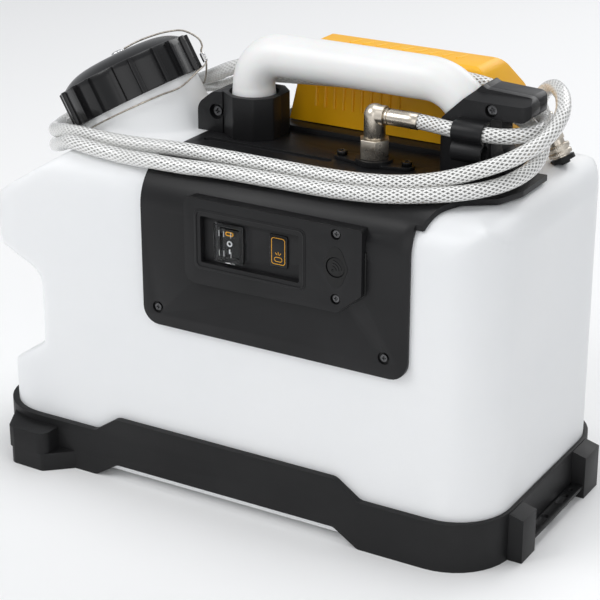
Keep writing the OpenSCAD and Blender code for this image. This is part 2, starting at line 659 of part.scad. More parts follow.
module coupler_body() color(nickel) on_coupler() difference() {
    union() {
        translate([0, 0, 17.1]) cylinder(r = 9, h = 5, $fn = 6);
        translate([0, 0, 22]) cylinder(r = 7, h = coupler_len - 22);
    }
    translate([0, 0, 16]) cylinder(r = 3, h = 30);
    translate([0, 0, 25]) cylinder(r = 5.2, h = 20);
}

module coupler_sleeve() color([0.55, 0.5, 0.42]) on_coupler() difference() {
    translate([0, 0, 26.2]) cylinder(r = 9.6, h = 8.6);
    translate([0, 0, 20]) cylinder(r = 7.06, h = 20);
}

module coupler_rest() color(frame_black) difference() {
    union() {
        on_coupler() translate([0, 0, 28]) cylinder(r = 4.9, h = 14);
        on_coupler() translate([0, 0, coupler_len + 0.3]) cylinder(r = 10, h = 3.4);
    }
    box([150, 20, 260], [230, 100, tank_top + 0.1]);
}

// ---------- battery bay ----------

module rear_tray() color(frame_black) {
    difference() {
        prism_z(rounded(rect(tray_x[0], tray_y[0], tray_x[1], tray_y[1], 8)), tank_top + 0.1, tray_rim_z);
        prism_z(rounded(rect(cover_x[0] + 2, cover_y[0] + 2, cover_x[1] - 2, tray_y[1] - 10, 8)),
            tank_top + 3.6, tray_rim_z + 1);
        // notch for the left bracket's rear half
        prism_z([for (p = rounded(left_plan, 3)) p + [p[0] < leg_x ? -0.4 : 0.4, p[1] > 0 ? 0.4 : 0]],
            tank_top - 1, tray_rim_z + 1);
    }
    // lugs that hold the cover's hinge pin
    for (x = [2, 126]) difference() {
        union() {
            rod_x(x, x + 4, hinge_p[0], hinge_p[1], knuckle_r);
            box([x, tray_y[1] - 1, tank_top + 2], [x + 4, hinge_p[0] + knuckle_r, tray_rim_z]);
            box([x, hinge_p[0] - knuckle_r, tray_rim_z - 1], [x + 4, hinge_p[0] + knuckle_r, hinge_p[1]]);
        }
        rod_x(x - 1, x + 5, hinge_p[0], hinge_p[1], 1.56);
    }
}

cover_front = [[cover_y[0], cover_z[0], 0], [cover_y[0] + 4, cover_z[1], 6], [68, cover_z[1], 14],
    [cover_y[1] - 1, 326, 14], [cover_y[1], cover_z[0], 0]];
cover_ends = [[cover_x[0], cover_z[0], 0], [cover_x[0] + 14, cover_z[1] - 1, 8],
    [cover_x[1] - 8, cover_z[1] - 1, 10], [cover_x[1] - 1, 324, 30], [cover_x[1], cover_z[0], 0]];

module cover_form(inset) intersection() {
    translate([cover_x[0], 0, 0]) rotate([90, 0, 90]) linear_extrude(cover_x[1] - cover_x[0])
        offset(delta = -inset) polygon(rounded(cover_front));
    translate([0, cover_y[1], 0]) rotate([90, 0, 0]) linear_extrude(cover_y[1] - cover_y[0])
        offset(delta = -inset) polygon(rounded(cover_ends));
}

module battery_cover() color(lid_yellow) {
    difference() {
        cover_form(0);
        translate([0, 0, -cover_wall - 0.1]) cover_form(cover_wall);
    }
    for (x = [10, 110]) difference() {
        union() {
            rod_x(x, x + 12, hinge_p[0], hinge_p[1], knuckle_r);
            box([x, cover_y[1] - 0.5, hinge_p[1] - 2.9], [x + 12, hinge_p[0], hinge_p[1] + 3]);
        }
        rod_x(x - 1, x + 13, hinge_p[0], hinge_p[1], 1.56);
    }
}

module cover_hinge_pin() color(steel) rod_x(-1, 133, hinge_p[0], hinge_p[1], 1.5);

pack_x = [-7.6, 104];
rail_y = [50, 80];

module battery_dock() color([0.1, 0.1, 0.1]) {
    box([pack_x[0] - 0.6, 42, 285], [pack_x[1] + 8, 92, 290]);
    box([pack_x[0] - 4.4, 42, 285], [pack_x[0] - 0.6, 92, 306]);
    for (y = rail_y) box([pack_x[0] + 0.6, y, 290], [72, y + 3, 294]);
}

// Side view of the pack; its front corner stays inside the sweep of the opening cover
pack_side = [[46, 290.4, 1], [86, 290.4, 1], [86, 303, 3], [91, 308, 4], [91, 314, 6], [82, 330, 6],
    [53, 332, 6], [44, 322, 6], [44, 310, 4], [46, 303, 3]];
release_c = [66, 316];           // release button, Y and Z

module battery_pack() color([0.14, 0.14, 0.14]) difference() {
    prism_x(rounded(pack_side), pack_x[0], pack_x[1]);
    for (y = rail_y) box([pack_x[0] - 1, y - 0.4, 290], [pack_x[1] + 1, y + 3.4, 294.6]);
    rod_x(pack_x[1] - 9, pack_x[1] + 1, release_c[0], release_c[1], 6.2);
}

module battery_release() color([0.8, 0.1, 0.05])
    rod_x(pack_x[1] - 5.6, pack_x[1] + 1.4, release_c[0], release_c[1], 5.9);

// ---------- pump ----------

module pump_motor() color(steel) difference() {
    union() {
        rod_x(20, 88, motor_c[0], motor_c[1], 19);
        rod_x(88, 92, motor_c[0], motor_c[1], 8);
    }
    rod_x(10, 80, motor_c[0], motor_c[1], 2.55);
}

module motor_shaft() color("gray") {
    rod_x(-8, 78, motor_c[0], motor_c[1], 2.5);
    rod_x(-6, 6, motor_c[0], motor_c[1] + 2, 7);
}

module pump_head() color([0.16, 0.16, 0.17]) difference() {
    union() {
        rod_x(-44, 19.9, motor_c[0], motor_c[1], 23);
        rod_z(motor_c[1], 262, -30, motor_c[0], 8);
        rod_z(195, motor_c[1], -40, motor_c[0], 6);
    }
    rod_x(-14, 25, motor_c[0], motor_c[1], 12);
    rod_z(240, 263, -30, motor_c[0], 4);
    rod_z(194, 204, -40, motor_c[0], 3.6);
}

module pump_cradle() color([0.2, 0.2, 0.2]) {
    for (x = [-24, 60]) difference() {
        box([x, motor_c[0] - 28, well_z0], [x + 10, motor_c[0] + 28, motor_c[1] - 4]);
        rod_x(x - 1, x + 11, motor_c[0], motor_c[1], x < 0 ? 23.1 : 19.1);
    }
    box([-14, motor_c[0] - 28, well_z0], [60, motor_c[0] - 20, well_z0 + 4]);
    box([-14, motor_c[0] + 20, well_z0], [60, motor_c[0] + 28, well_z0 + 4]);
}

module pressure_switch() color([0.1, 0.1, 0.1]) rod_z(247.5, 268, -5, motor_c[0], 9);

outlet_tube_route = [[-30, -8, 262.1], [-30, -8, 270], [-24, -10, 275.5], [-10, -13, 276.5],
    [20, -20, 276.5], [50, -26, 274], [70, -28, 268], [80, -28, 266], [83.5, -28, 270],
    [83.5, -28, 273.9]];

module outlet_tube() color([0.9, 0.9, 0.9]) tube(outlet_tube_route, 3.6, 8);

module intake_tube() color([0.85, 0.85, 0.85]) difference() {
    union() {
        rod_z(24, 194.9, -40, -8, 6);
        rod_z(well_z0 + 0.1, well_z0 + 3, -40, -8, 11);
    }
    rod_z(20, 200, -40, -8, 4);
}

module intake_strainer() color([0.1, 0.1, 0.1]) difference() {
    rod_z(7.8, 23.9, -40, -8, 13);
    rod_z(9.6, 21.5, -40, -8, 11);
    for (a = [0:30:330]) translate([-40, -8, 15]) rotate(a) translate([11, 0, 0])
        cube([6, 2.4, 11], center = true);
    rod_z(20, 30, -40, -8, 3.8);
}

tank();
cap_shell();
cap_gasket();
cap_stud();
lanyard_wire();
lanyard_crimp();
base_ring();
latch_plate();
base_screws();
console_cover();
rear_tray();
control_pod();
switch_body();
switch_rocker();
switch_boot();
indicator_window();
indicator_led();
pairing_button();
control_board();
panel_screws();
pod_screws();
handle();
left_bracket_front();
left_bracket_rear();
right_bracket_front();
right_bracket_rear();
bracket_screws();
hose_clip();
outlet_flange();
flange_screws();
outlet_nut();
outlet_elbow();
elbow_ferrule();
supply_hose();
coupler_ferrule();
coupler_body();
coupler_sleeve();
coupler_rest();
battery_cover();
cover_hinge_pin();
battery_dock();
battery_pack();
battery_release();
pump_motor();
motor_shaft();
pump_head();
pump_cradle();
pressure_switch();
outlet_tube();
intake_tube();
intake_strainer();
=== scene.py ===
"""Looks of a portable battery-driven water tank: tank, cap, console, battery bay and stowed hose.

Everything is in metres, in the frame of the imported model: X runs from the cap end to the hook end,
the control panel faces -Y and Z is up.
"""

import json
import math

import bmesh
import bpy
import numpy as np
from mathutils import Matrix, Vector


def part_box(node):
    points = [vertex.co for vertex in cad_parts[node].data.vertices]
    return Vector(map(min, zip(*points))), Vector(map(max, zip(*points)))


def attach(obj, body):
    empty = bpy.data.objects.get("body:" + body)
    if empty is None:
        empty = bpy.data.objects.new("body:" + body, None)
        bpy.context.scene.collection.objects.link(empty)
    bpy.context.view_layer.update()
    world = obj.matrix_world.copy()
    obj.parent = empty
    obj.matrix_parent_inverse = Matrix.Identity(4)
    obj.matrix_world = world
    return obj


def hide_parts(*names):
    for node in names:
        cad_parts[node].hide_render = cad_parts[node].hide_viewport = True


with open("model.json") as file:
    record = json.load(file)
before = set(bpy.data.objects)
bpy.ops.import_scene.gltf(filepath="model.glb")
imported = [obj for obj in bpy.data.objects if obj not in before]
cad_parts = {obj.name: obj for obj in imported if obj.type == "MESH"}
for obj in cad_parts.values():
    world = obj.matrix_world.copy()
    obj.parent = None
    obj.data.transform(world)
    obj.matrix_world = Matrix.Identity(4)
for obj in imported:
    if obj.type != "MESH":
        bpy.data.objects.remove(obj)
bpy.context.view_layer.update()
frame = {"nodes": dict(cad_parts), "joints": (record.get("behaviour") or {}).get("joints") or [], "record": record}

MM = 0.001
SLOTS = {part["node"]: part["material_slot"] for part in frame["record"]["subparts"]}
BODY = {n: body for body, nodes in frame["record"]["behaviour"]["bodies"].items() for n in nodes}


# ---------- camera, light and floor ----------


def make_camera():
    """A long lens looks down on the panel side from the front right."""
    back = Vector((0.4689, -0.7975, 0.3796)).normalized()
    data = bpy.data.cameras.new("camera")
    data.lens, data.sensor_width = 114.3, 36.0
    camera = bpy.data.objects.new("camera", data)
    bpy.context.scene.collection.objects.link(camera)
    camera.rotation_mode = "QUATERNION"
    camera.location = (0.749, -1.2739, 0.750)
    camera.rotation_quaternion = back.to_track_quat("Z", "Y")
    bpy.context.scene.camera = camera


def area_light(name, spot, size, power, target=(0.0, 0.0, 0.18)):
    """Square soft lamp at spot that faces target."""
    data = bpy.data.lights.new(name, "AREA")
    data.energy, data.size = power, size
    lamp = bpy.data.objects.new(name, data)
    bpy.context.scene.collection.objects.link(lamp)
    lamp.location = spot
    lamp.rotation_mode = "QUATERNION"
    lamp.rotation_quaternion = (Vector(spot) - Vector(target)).to_track_quat("Z", "Y")


def make_studio():
    """Five soft lamps, a faint cool sky and a plain pale floor."""
    area_light("key", (-1.5, -1.7, 2.2), 1.5, 30)
    area_light("fill", (2.2, -0.9, 1.3), 1.4, 7)
    area_light("rim", (0.3, 2.2, 1.7), 1.6, 20)
    area_light("front", (0.7, -2.2, 0.9), 1.6, 9)
    area_light("top", (0.0, 0.1, 2.4), 1.2, 12)
    world = bpy.data.worlds.new("studio")
    world.use_nodes = True
    background = world.node_tree.nodes["Background"]
    background.inputs["Color"].default_value = (0.95, 0.97, 1.0, 1)
    background.inputs["Strength"].default_value = 0.5
    bpy.context.scene.world = world
    bpy.context.scene.view_settings.view_transform = "Standard"
    reach = 6
    corners = [(-reach, -reach, 0), (reach, -reach, 0), (reach, reach, 0), (-reach, reach, 0)]
    floor = plain_mesh("floor", corners, [(0, 1, 2, 3)])
    material, _, _ = shader("floor_paint", (0.92, 0.92, 0.92), 0.6)
    floor.data.materials.append(material)


# ---------- shader helpers ----------


def shader(name, color, rough, metal=0.0, sockets=None):
    """A Principled material; sockets sets more of its inputs by name."""
    material = bpy.data.materials.new(name)
    material.use_nodes = True
    tree = material.node_tree
    surface = tree.nodes["Principled BSDF"]
    surface.inputs["Base Color"].default_value = (*color, 1)
    surface.inputs["Roughness"].default_value = rough
    surface.inputs["Metallic"].default_value = metal
    for key, value in (sockets or {}).items():
        surface.inputs[key].default_value = value
    return material, tree, surface


def add(tree, kind, inputs=None, **settings):
    """A new node. inputs holds sockets to link or values to set; settings are its properties."""
    node = tree.nodes.new(kind)
    for key, value in settings.items():
        setattr(node, key, value)
    for key, value in (inputs or {}).items():
        if isinstance(value, bpy.types.NodeSocket):
            tree.links.new(value, node.inputs[key])
        else:
            node.inputs[key].default_value = value
    return node


def place(tree, scale=(1, 1, 1)):
    """The point in the row frame, stretched by scale."""
    coords = add(tree, "ShaderNodeTexCoord").outputs["Object"]
    return add(tree, "ShaderNodeMapping", {"Vector": coords, "Scale": scale}).outputs["Vector"]


def noise(tree, scale, detail=3.0, stretch=(1, 1, 1)):
    """Noise from 0 to 1; stretch draws it out along the axes."""
    inputs = {"Vector": place(tree, stretch), "Scale": scale, "Detail": detail}
    return add(tree, "ShaderNodeTexNoise", inputs).outputs["Fac"]


def ramp(tree, value, stops):
    """Colour ramp through (position, colour) stops."""
    node = add(tree, "ShaderNodeValToRGB", {"Fac": value})
    elements = node.color_ramp.elements
    while len(elements) < len(stops):
        elements.new(0.5)
    for element, (position, color) in zip(elements, stops):
        element.position = position
        element.color = (*color, 1)
    return node.outputs["Color"]


def tint(tree, surface, dark, light, scale, stretch=(1, 1, 1)):
    """Clouds the base colour between dark and light."""
    color = ramp(tree, noise(tree, scale, 4.0, stretch), [(0.3, dark), (0.7, light)])
    tree.links.new(color, surface.inputs["Base Color"])


def smudge(tree, surface, low, high, scale):
    """Varies the roughness from low to high in patches."""
    inputs = {"Value": noise(tree, scale, 5.0), "From Min": 0.3, "From Max": 0.7, "To Min": low}
    inputs["To Max"] = high
    worn = add(tree, "ShaderNodeMapRange", inputs)
    tree.links.new(worn.outputs["Result"], surface.inputs["Roughness"])


def relief(tree, surface, height, depth, strength=0.6):
    """Bumps the surface by a height socket; depth is in metres."""
    bump = add(tree, "ShaderNodeBump", {"Height": height, "Distance": depth, "Strength": strength})
    tree.links.new(bump.outputs["Normal"], surface.inputs["Normal"])


def moulded_plastic(name, dark, light, rough, grain_scale, grain_depth, sockets=None):
    """Spark-eroded plastic: fine grain, faint clouding and patches of handling sheen.

    Black plastics reflect less than pale ones.
    """
    material, tree, surface = shader(name, light, rough, 0.0, sockets)
    is_black = max(light) < 0.05
    surface.inputs["Specular IOR Level"].default_value = 0.26 if is_black else 0.5
    tint(tree, surface, dark, light, 14)
    smudge(tree, surface, rough - 0.05, rough + 0.07, 9)
    relief(tree, surface, noise(tree, grain_scale, 2.0), grain_depth)
    return material


def turned_metal(name, dark, light, rough, stretch):
    """Plated metal with fine lines left by turning or drawing."""
    material, tree, surface = shader(name, light, rough, 1.0)
    tint(tree, surface, dark, light, 60, stretch)
    smudge(tree, surface, rough * 0.7, rough * 1.4, 40)
    relief(tree, surface, noise(tree, 900, 2.0, stretch), 0.00003, 0.4)
    return material


def glossy(name, dark, light, rough, coat=0.5):
    """Smooth lacquered or polished plastic under a thin coat."""
    sockets = {"Coat Weight": coat, "Specular IOR Level": 0.25}
    material, tree, surface = shader(name, light, rough, 0.0, sockets)
    tint(tree, surface, dark, light, 30)
    smudge(tree, surface, rough * 0.6, rough * 1.5, 25)
    relief(tree, surface, noise(tree, 250, 2.0), 0.00002, 0.3)
    return material


def clear_film(name, color, rough):
    """Clear flexible plastic with faint streaks."""
    sockets = {"Transmission Weight": 1.0, "IOR": 1.12}
    material, tree, surface = shader(name, color, rough, 0.0, sockets)
    tint(tree, surface, tuple(0.96 * c for c in color), color, 40)
    relief(tree, surface, noise(tree, 30, 1.0), 0.00001, 0.05)
    return material


def tank_plastic():
    """Milky polyethylene: soft light under the skin and a slightly uneven blown surface."""
    sockets = {"Subsurface Weight": 0.35, "Subsurface Scale": 0.012, "IOR": 1.5}
    material, tree, surface = shader("tank_plastic", (0.85, 0.86, 0.86), 0.38, 0.0, sockets)
    surface.inputs["Subsurface Radius"].default_value = (1.0, 1.0, 0.95)
    tint(tree, surface, (0.82, 0.835, 0.845), (0.87, 0.878, 0.88), 5)
    smudge(tree, surface, 0.34, 0.46, 7)
    relief(tree, surface, noise(tree, 26, 3.0), 0.0004, 0.35)
    return material


def braided_hose():
    """White yarn braid under clear vinyl. U runs round the hose and V along it, both in turns."""
    material, tree, surface = shader("braided_hose", (0.85, 0.85, 0.84), 0.3, 0.0,
        {"Coat Weight": 0.9, "Coat Roughness": 0.06, "IOR": 1.25})
    uv = add(tree, "ShaderNodeUVMap", uv_map="braid").outputs["UV"]
    split = add(tree, "ShaderNodeSeparateXYZ", {"Vector": uv})
    strands, lay = 12.0, 6.4

    def yarns(side):
        """Distance from the middle of the nearest yarn that winds one way, 0 to 0.5."""
        around = add(tree, "ShaderNodeMath", {0: split.outputs["X"], 1: strands}, operation="MULTIPLY")
        along = add(tree, "ShaderNodeMath", {0: split.outputs["Y"], 1: side * lay}, operation="MULTIPLY")
        phase = add(tree, "ShaderNodeMath", {0: around.outputs[0], 1: along.outputs[0]}, operation="ADD")
        turn = add(tree, "ShaderNodeMath", {0: phase.outputs[0]}, operation="FRACT")
        shift = add(tree, "ShaderNodeMath", {0: turn.outputs[0], 1: 0.5}, operation="SUBTRACT")
        return add(tree, "ShaderNodeMath", {0: shift.outputs[0]}, operation="ABSOLUTE").outputs[0]

    one_way, other_way = yarns(1), yarns(-1)
    nearest = add(tree, "ShaderNodeMath", {0: one_way, 1: other_way}, operation="MAXIMUM")
    crossing = add(tree, "ShaderNodeMath", {0: one_way, 1: other_way}, operation="MULTIPLY")
    color = ramp(tree, nearest.outputs[0], [(0.25, (0.62, 0.62, 0.6)), (0.33, (0.9, 0.9, 0.885))])
    streak = ramp(tree, noise(tree, 700, 3.0), [(0.35, (0.8, 0.8, 0.79)), (0.6, (1, 1, 1))])
    mixed = add(tree, "ShaderNodeMix", data_type="RGBA", blend_type="MULTIPLY")
    mixed.inputs["Factor"].default_value = 0.55
    tree.links.new(color, mixed.inputs["A"])
    tree.links.new(streak, mixed.inputs["B"])
    tree.links.new(mixed.outputs["Result"], surface.inputs["Base Color"])
    height = add(tree, "ShaderNodeMath", {0: nearest.outputs[0], 1: crossing.outputs[0]},
        operation="ADD")
    relief(tree, surface, height.outputs[0], 0.0005, 0.7)
    gaps = {"Value": nearest.outputs[0], "From Min": 0.25, "From Max": 0.33, "To Min": 0.85,
        "To Max": 0.0}
    clear = add(tree, "ShaderNodeMapRange", gaps)
    tree.links.new(clear.outputs["Result"], surface.inputs["Transmission Weight"])
    return material


def twisted_wire():
    """Strands of fine steel wire laid in a helix."""
    material, tree, surface = shader("steel_wire", (0.42, 0.37, 0.31), 0.34, 1.0)
    tint(tree, surface, (0.26, 0.23, 0.2), (0.55, 0.5, 0.43), 300)
    uv = add(tree, "ShaderNodeUVMap", uv_map="braid").outputs["UV"]
    wave = add(tree, "ShaderNodeTexWave", {"Vector": uv, "Scale": 1.6}, bands_direction="DIAGONAL")
    relief(tree, surface, wave.outputs["Fac"], 0.0002, 0.8)
    return material


def lamp_amber():
    """Amber lamp lens with a faint glow."""
    material, tree, surface = shader("led_amber", (0.9, 0.5, 0.05), 0.3)
    tint(tree, surface, (0.8, 0.42, 0.04), (0.95, 0.58, 0.08), 80)
    surface.inputs["Emission Color"].default_value = (1.0, 0.55, 0.08, 1)
    surface.inputs["Emission Strength"].default_value = 0.25
    return material


def make_materials():
    """One material for each slot of the record, and two for printed marks."""
    black = (0.006, 0.006, 0.0065)
    return {
        "tank_plastic": tank_plastic(),
        "grip_plastic": moulded_plastic("grip_plastic", (0.8, 0.8, 0.79), (0.86, 0.86, 0.85), 0.36,
            500, 0.00004, {"Subsurface Weight": 0.1, "Subsurface Scale": 0.004}),
        "cap_plastic": moulded_plastic("cap_plastic", (0.005, 0.005, 0.0055), (0.01, 0.01, 0.011), 0.26,
            260, 0.00003, {"Coat Weight": 0.25, "Coat Roughness": 0.12}),
        "seal_rubber": moulded_plastic("seal_rubber", (0.02, 0.02, 0.02), (0.04, 0.04, 0.04), 0.7, 400,
            0.00005),
        "steel_wire": twisted_wire(),
        "crimp_metal": turned_metal("crimp_metal", (0.6, 0.6, 0.61), (0.8, 0.8, 0.8), 0.22, (1, 1, 8)),
        "frame_plastic": moulded_plastic("frame_plastic", black, (0.011, 0.011, 0.0115), 0.48, 900, 0.00012),
        "console_plastic": moulded_plastic("console_plastic", (0.007, 0.007, 0.0075),
            (0.0125, 0.0125, 0.0135), 0.4, 1100, 0.0001),
        "switch_plastic": glossy("switch_plastic", (0.003, 0.003, 0.003), (0.006, 0.006, 0.006), 0.3, 0.1),
        "clear_plastic": clear_film("clear_plastic", (0.98, 0.99, 1.0), 0.02),
        "window_gloss": glossy("window_gloss", (0.003, 0.003, 0.003), (0.006, 0.006, 0.006), 0.2, 0.1),
        "led_amber": lamp_amber(),
        "board_green": glossy("board_green", (0.008, 0.09, 0.03), (0.02, 0.16, 0.06), 0.35),
        "screw_steel": turned_metal("screw_steel", (0.07, 0.07, 0.072), (0.16, 0.16, 0.165), 0.3, (1, 6, 1)),
        "screw_black": turned_metal("screw_black", (0.02, 0.02, 0.02), (0.07, 0.07, 0.07), 0.35,
            (1, 1, 6)),
        "nickel_plate": turned_metal("nickel_plate", (0.62, 0.56, 0.48), (0.72, 0.66, 0.57), 0.27,
            (1, 1, 3)),
        "braided_hose": braided_hose(),
        "cover_yellow": moulded_plastic("cover_yellow", (0.9, 0.44, 0.002), (0.96, 0.5, 0.004), 0.42, 700,
            0.00006, {"Subsurface Weight": 0.05, "Subsurface Scale": 0.002}),
        "pack_black": moulded_plastic("pack_black", black, (0.024, 0.024, 0.024), 0.45, 800, 0.0001),
        "release_red": moulded_plastic("release_red", (0.45, 0.02, 0.012), (0.6, 0.03, 0.02), 0.4, 600,
            0.00005),
        "motor_steel": turned_metal("motor_steel", (0.35, 0.35, 0.36), (0.6, 0.6, 0.62), 0.3,
            (8, 1, 1)),
        "pump_plastic": moulded_plastic("pump_plastic", (0.02, 0.02, 0.022), (0.035, 0.035, 0.038), 0.5,
            500, 0.0001),
        "clear_tube": moulded_plastic("clear_tube", (0.7, 0.72, 0.72), (0.82, 0.83, 0.83), 0.25, 200,
            0.00003, {"Subsurface Weight": 0.3, "Subsurface Scale": 0.004}),
        "print_amber": moulded_plastic("print_amber", (0.8, 0.36, 0.012), (0.95, 0.5, 0.03), 0.4, 600,
            0.00001),
        "print_white": moulded_plastic("print_white", (0.7, 0.7, 0.7), (0.86, 0.86, 0.86), 0.4, 600,
            0.00001),
    }


# ---------- mesh helpers ----------


def plain_mesh(name, points, faces):
    """A new object in the scene, from points in metres and faces by index."""
    mesh = bpy.data.meshes.new(name)
    mesh.from_pydata([tuple(p) for p in points], [], faces)
    mesh.update()
    piece = bpy.data.objects.new(name, mesh)
    bpy.context.scene.collection.objects.link(piece)
    return piece


def finish_piece(piece, body, slot=None, material=None, sharp=40, replaced=()):
    """Shades a piece, gives it its material, and lets it ride on its body.

    material names a finish other than the slot's own; edges sharper than sharp degrees stay crisp.
    """
    piece.data.shade_smooth()
    piece.data.set_sharp_from_angle(angle=math.radians(sharp))
    piece.data.materials.clear()
    piece.data.materials.append(MATERIALS[material or slot])
    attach(piece, body)
    if replaced:
        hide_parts(*replaced)
    return piece


def copy_of(node, name):
    """A welded copy of a CAD node's mesh, its coplanar triangles dissolved."""
    weld, flat = 0.01 * MM, math.radians(0.6)
    form = bmesh.new()
    form.from_mesh(frame["nodes"][node].data)
    bmesh.ops.remove_doubles(form, verts=form.verts, dist=weld)
    bmesh.ops.dissolve_limit(form, angle_limit=flat, verts=form.verts, edges=form.edges)
    mesh = bpy.data.meshes.new(name)
    form.to_mesh(mesh)
    form.free()
    if "custom_normal" in mesh.attributes:
        mesh.attributes.remove(mesh.attributes["custom_normal"])
    piece = bpy.data.objects.new(name, mesh)
    bpy.context.scene.collection.objects.link(piece)
    return piece


def bake_modifiers(piece):
    """Replaces a piece's mesh by what its modifiers make of it."""
    graph = bpy.context.evaluated_depsgraph_get()
    done = bpy.data.meshes.new_from_object(piece.evaluated_get(graph))
    piece.modifiers.clear()
    piece.data = done


def chamfer_panel_end(mesh):
    """Slopes the outer face of the console back over its last millimetres at the hook end."""
    edge_x, strip, fall = 162 * MM, 7.5 * MM, 2.4 * MM
    bend_y, bend_z, top_z, face_r = -85 * MM, 251 * MM, 270 * MM, 34.6 * MM
    form = bmesh.new()
    form.from_mesh(mesh)
    bmesh.ops.bisect_plane(form, geom=form.verts[:] + form.edges[:] + form.faces[:],
        plane_co=(edge_x - strip, 0, 0), plane_no=(1, 0, 0))
    for vert in form.verts:
        out = Vector((0, vert.co.y - bend_y, max(vert.co.z - bend_z, 0)))
        if abs(vert.co.x - edge_x) < 0.3 * MM and vert.co.z < top_z and out.length > face_r:
            vert.co -= out.normalized() * fall
    form.to_mesh(mesh)
    form.free()


def rounded_copy(node, width, segments=3, angle=28, sharp=50):
    """Stands for a CAD node with every edge sharper than angle rounded over width millimetres."""
    piece = copy_of(node, node + "_moulding")
    if node == "console_cover":
        chamfer_panel_end(piece.data)
    bevel = piece.modifiers.new("round", "BEVEL")
    bevel.width, bevel.segments = width * MM, segments
    bevel.limit_method, bevel.angle_limit = "ANGLE", math.radians(angle)
    bevel.use_clamp_overlap = True
    bevel.miter_outer = "MITER_ARC"
    bake_modifiers(piece)
    return finish_piece(piece, BODY[node], SLOTS[node], sharp=sharp, replaced=[node])


def blown_copy(node, voxel, passes):
    """Stands for a CAD node with its form softened all over, as a blow-moulded wall is.

    voxel is the grain of the rebuilt skin in millimetres, passes the rounds of smoothing.
    """
    piece = copy_of(node, node + "_moulding")
    remesh = piece.modifiers.new("blow", "REMESH")
    remesh.mode, remesh.voxel_size = "VOXEL", voxel * MM
    smooth = piece.modifiers.new("soften", "SMOOTH")
    smooth.factor, smooth.iterations = 0.5, passes
    bake_modifiers(piece)
    return finish_piece(piece, BODY[node], SLOTS[node], sharp=180, replaced=[node])


def spline(points, steps=8):
    """Smooth line through given points (Catmull-Rom)."""
    p = np.array(points, float)
    p = np.vstack([2 * p[0] - p[1], p, 2 * p[-1] - p[-2]])
    line = []
    for a, b, c, d in zip(p[:-3], p[1:-2], p[2:-1], p[3:]):
        for t in np.arange(steps) / steps:
            line.append(0.5 * (2 * b + (c - a) * t + (2 * a - 5 * b + 4 * c - d) * t**2
                + (3 * b - a - 3 * c + d) * t**3))
    return np.array(line + [p[-2]])


def swept_tube(name, line, radius, sides):
    """Round tube along a line with frames that don't twist. UV map braid counts turns both ways."""
    tangents = np.gradient(line, axis=0)
    tangents /= np.linalg.norm(tangents, axis=1)[:, None]
    side = np.cross(tangents[0], (0.31, 0.2, 0.93))
    travelled = np.concatenate([[0], np.cumsum(np.linalg.norm(np.diff(line, axis=0), axis=1))])
    turns = travelled / (2 * math.pi * radius)
    rings = []
    for point, tangent in zip(line, tangents):
        side = side - tangent * (side @ tangent)
        side /= np.linalg.norm(side)
        up = np.cross(tangent, side)
        angles = 2 * math.pi * np.arange(sides) / sides
        rings.append(point + radius * (np.cos(angles)[:, None] * side + np.sin(angles)[:, None] * up))
    points = np.concatenate(rings)
    faces = []
    for i in range(len(line) - 1):
        for j in range(sides):
            a, b = i * sides + j, i * sides + (j + 1) % sides
            faces.append((a, b, b + sides, a + sides))
    faces.append(tuple(range(sides))[::-1])
    last = (len(line) - 1) * sides
    faces.append(tuple(range(last, last + sides)))
    piece = plain_mesh(name, points, faces)
    layer = piece.data.uv_layers.new(name="braid")
    corner = 0
    for face in piece.data.polygons[:-2]:
        i, j = divmod(face.index, sides)
        for u, v in ((j, i), (j + 1, i), (j + 1, i + 1), (j, i + 1)):
            layer.data[corner].uv = (u / sides, turns[v])
            corner += 1
    return piece


def turned(name, profile, origin, axis, steps=64, relief_at=None):
    """Closed solid of revolution. profile holds (radius, height) in millimetres, once round its
    section; relief_at(angle, height) adds millimetres to the radius of points with a third number,
    which is their share of it."""
    z = Vector(axis).normalized()
    x = Vector((0, 1, 0)).cross(z)
    x = (x if x.length > 0.1 else Vector((1, 0, 0)).cross(z)).normalized()
    turn = Matrix((x, z.cross(x), z)).transposed()
    points = []
    for k in range(steps):
        angle = 2 * math.pi * k / steps
        for radius, height, *share in profile:
            grow = relief_at(angle, height) * share[0] if relief_at and share else 0
            reach = (radius + grow) * MM
            local = Vector((reach * math.cos(angle), reach * math.sin(angle), height * MM))
            points.append(Vector(origin) + turn @ local)
    rows = len(profile)
    faces = []
    for k in range(steps):
        n = (k + 1) % steps
        for i in range(rows):
            j = (i + 1) % rows
            faces.append((k * rows + i, n * rows + i, n * rows + j, k * rows + j))
    piece = plain_mesh(name, points, faces)
    form = bmesh.new()
    form.from_mesh(piece.data)
    bmesh.ops.recalc_face_normals(form, faces=form.faces)
    form.to_mesh(piece.data)
    form.free()
    return piece


def strokes(name, lines, radius):
    """Raised marks: thin round beads along lines. Each line is (points, closed)."""
    data = bpy.data.curves.new(name, "CURVE")
    data.dimensions, data.bevel_depth, data.bevel_resolution = "3D", radius, 2
    data.use_fill_caps = True
    for points, closed in lines:
        path = data.splines.new("POLY")
        path.points.add(len(points) - 1)
        for knot, point in zip(path.points, points):
            knot.co = (*point, 1)
        path.use_cyclic_u = closed
    drawn = bpy.data.objects.new(name, data)
    bpy.context.scene.collection.objects.link(drawn)
    graph = bpy.context.evaluated_depsgraph_get()
    mesh = bpy.data.meshes.new_from_object(drawn.evaluated_get(graph))
    bpy.data.objects.remove(drawn)
    piece = bpy.data.objects.new(name, mesh)
    bpy.context.scene.collection.objects.link(piece)
    return piece


